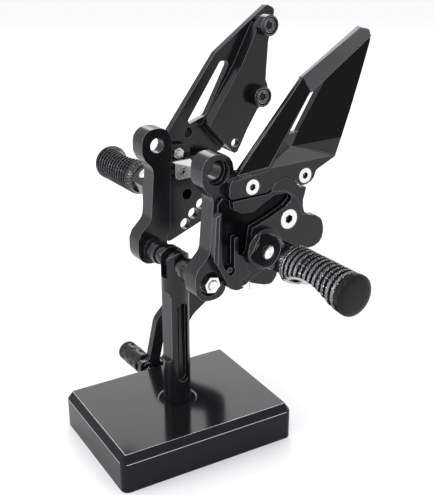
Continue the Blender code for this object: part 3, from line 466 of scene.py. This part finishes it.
def grip_barrel(side, name, node, body):
    """The grip's barrel: rings of raised diamonds, their crowns coloured as worn metal with a painted glint,
    between grooves in painted shade, and a scoop with its hole.
    """
    hinge, out, pin, tread = peg_axes(joints[f"{side}_peg_fold"])
    end = grip_end(side)
    scoop_middle = (ROOT_START + end) / 2 + 1
    stations, root = grip_stations(end)
    verts, scooped = [], []
    for along, plain in stations:
        away = along - scoop_middle
        floor = -SCOOP_FLOOR - SCOOP_RADIUS + math.sqrt(max(SCOOP_RADIUS ** 2 - away * away, 0.0))
        for k in range(AROUND):
            angle = 2 * math.pi * k / AROUND
            radius = plain or VALLEY_RADIUS + RISE * diamond(along, k) ** CROWN
            up, across = radius * math.cos(angle), radius * math.sin(angle)
            cut_here = up < floor + SCOOP_SKIN
            in_hole = (along - GRIP_START - HOLE_ALONG) ** 2 + across ** 2 < HOLE_RADIUS ** 2
            if cut_here:
                up = floor + (HOLE_DEPTH if in_hole else SCOOP_SKIN)
            scooped.append(cut_here and not in_hole)
            verts.append(hinge + (out * along + tread * up + pin * across) * MM)
    faces, indices = [], []
    for number, ((start, plain), (stop, next_plain)) in enumerate(zip(stations, stations[1:])):
        groove = number >= root and (plain or next_plain)
        quads = band(number * AROUND, (number + 1) * AROUND, AROUND)
        faces += quads
        for k, quad in enumerate(quads):
            worn_and_glint = diamond((start + stop) / 2, k + 0.5) > TIP_ABOVE and not scooped[quad[0]]
            if all(scooped[corner] for corner in quad):
                indices.append(SCOOP_FACE)
            # groove faces take painted shade
            elif groove:
                indices.append(GROOVE_SHADE_FACE)
            else:
                indices.append(TIP_FACE if worn_and_glint else BLACK_FACE)
    for first, along in ((0, stations[0][0]), ((len(stations) - 1) * AROUND, stations[-1][0])):
        centre = len(verts)
        verts.append(hinge + out * along * MM)
        for k in range(AROUND):
            faces.append((first + k, first + (k + 1) % AROUND, centre))
            indices.append(BLACK_FACE)
    # The near peg's scoop is bare aluminium with worn, glinting crowns; the far peg takes darker copies of both,
    # painted shade.
    scoop, tips = (BARE, TIPS) if side == "near" else (SATIN_PAINTED_LIGHT, SHADED_TIPS)
    barrel = new_piece(name, verts, faces, [KNURL, scoop, tips, SHADE_BLACK], body, indices)
    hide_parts(node)


def grip_tongue(side, name, body):
    """The tongue between the clevis cheeks, with its bore and the wider room for the spring."""
    hinge, out, pin, tread = peg_axes(joints[f"{side}_peg_fold"])
    steps, verts, faces = 64, [], []
    rings = ((None, -TONGUE_HALF), (None, TONGUE_HALF), (SPRING_ROOM, TONGUE_HALF), (SPRING_ROOM, 0.0),
             (BORE, 0.0), (BORE, -TONGUE_HALF))
    for inner, across in rings:
        for k in range(steps):
            angle = 2 * math.pi * (k + 0.5) / steps
            c, s = math.cos(angle), math.sin(angle)
            outline = TONGUE_NOSE
            if c > 0:
                outline = min(TONGUE_ROOT / max(c, 0.01), TONGUE_NOSE / max(abs(s), 0.01))
            size = inner or outline
            verts.append(hinge + (out * size * c + tread * size * s + pin * across) * MM)
    for number in range(len(rings)):
        faces += band(number * steps, (number + 1) % len(rings) * steps, steps)
    new_piece(name, verts, faces, [FINISH["black_anodised"]], body, smooth=False)


def end_plug(side, name, node, body):
    """A smooth domed plug with a thin seam to the grip."""
    hinge, out, _, _ = peg_axes(joints[f"{side}_peg_fold"])
    profile = [(6.0, -9.0), (6.0, 0.3), (15.2, 0.3), (16.0, 0.7), (16.15, 1.4), (16.15, 4.2), (15.9, 4.9),
               (15.2, 5.5), (13.6, 6.2), (13.0, 6.45), (11.0, 6.8), (8.0, 7.0), (4.0, 7.12), (1.0, 7.15)]
    lathe(name, node, body, "black_plastic", profile, hinge / MM + out * grip_end(side), out)


for side in ("near", "far"):
    grip_barrel(side, f"{side}_grip_barrel", f"{side}_peg_grip", f"{side}_peg")
    grip_tongue(side, f"{side}_grip_barrel_tongue", f"{side}_peg")
for side in ("near", "far"):
    end_plug(side, f"{side}_plug_dome", f"{side}_end_plug", f"{side}_peg")


# Spacers on the cross rod -------------------------------------------------------------------------
def spacer(name, node, side):
    """A turned spacer with its ribs and ring grooves, from the fork out to the bracket."""
    low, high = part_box(node)
    start, end = sorted((abs(mm(low.y)), abs(mm(high.y))))
    middle = Vector((mm((low.x + high.x) / 2), side * start, mm((low.z + high.z) / 2)))
    length = end - start
    waist = length * 0.55
    outer = [(6.1, 0.05), (7.5, 1.6), (8.1, 4.5), (8.1, 8.0), (7.2, 9.0), (9.3, 9.4), (9.7, 9.9),
             (9.7, 13.2), (9.3, 13.6), (8.5, 14.2)]
    ring = 14.8
    while ring < waist + 1.5:
        outer += [(8.5, ring), (8.0, ring + 0.35), (8.5, ring + 0.7)]
        ring += 1.5
    outer += [(8.5, waist + 2.5), (9.3, waist + 2.9), (9.7, waist + 3.3)]
    outer += [(9.7, length - 5.3), (9.3, length - 4.9), (8.7, length - 4.2), (8.7, length - 2.2),
              (10.0, length - 1.9), (10.3, length - 1.5), (10.3, length - 0.05)]
    bore = 4.4
    profile = [(bore, 0.05), *outer, (bore, length - 0.05), (bore, 0.05)]
    lathe(name, node, "stand_and_sets", "black_steel", profile, middle, (0, side, 0), 64)


spacer("near_spacer_turned", "near_spacer", -1)
spacer("far_spacer_turned", "far_spacer", 1)

# Toe peg of the shift lever -----------------------------------------------------------------------
TOE_RADIUS = 9.7
POCKET_RINGS, POCKETS_ROUND = (8.5, 16.5, 24.5), 7
POCKET_HALF_LENGTH, POCKET_HALF_WIDTH, POCKET_DEPTH = 3.0, 2.3, 1.1
POCKET_WALL = 3.0                       # how steeply a pocket's wall falls to its floor


def toe_pocket(angle, height):
    """How deep the toe peg's surface is sunk: rings of oval pockets, half a step on from ring to ring."""
    deepest = 0.0
    step = 2 * math.pi / POCKETS_ROUND
    for number, middle in enumerate(POCKET_RINGS):
        away = (angle + number * step / 2) % step - step / 2
        outside = ((height - middle) / POCKET_HALF_LENGTH) ** 2 + (away * TOE_RADIUS / POCKET_HALF_WIDTH) ** 2
        if outside < 1.0:
            deepest = POCKET_DEPTH * min(1.0, (1.0 - outside) * POCKET_WALL)
    return deepest


def toe_peg():
    """The toe peg: a pocketed sleeve, a ring groove and a domed end."""
    low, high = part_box("toe_peg")
    start = Vector((mm((low.x + high.x) / 2), mm(low.y), mm((low.z + high.z) / 2)))
    end = mm(high.y - low.y) - 0.05
    rows, row_pitch = 65, 0.42
    sleeve = [(TOE_RADIUS, 1.4 + row_pitch * row) for row in range(rows)]
    cap = [(9.0, 29.2), (9.0, 30.2), (TOE_RADIUS, 30.7), (TOE_RADIUS, 32.6), (9.3, 33.6), (8.4, 34.3),
           (3.0, end), (0.5, end)]
    profile = [(3.3, 0.05), (9.0, 0.05), (TOE_RADIUS, 1.0), *sleeve, *cap]
    steps = 18 * POCKETS_ROUND
    lathe("toe_peg_turned", "toe_peg", "shift_lever", "black_anodised", profile, start, (0, 1, 0), steps,
          toe_pocket)


toe_peg()
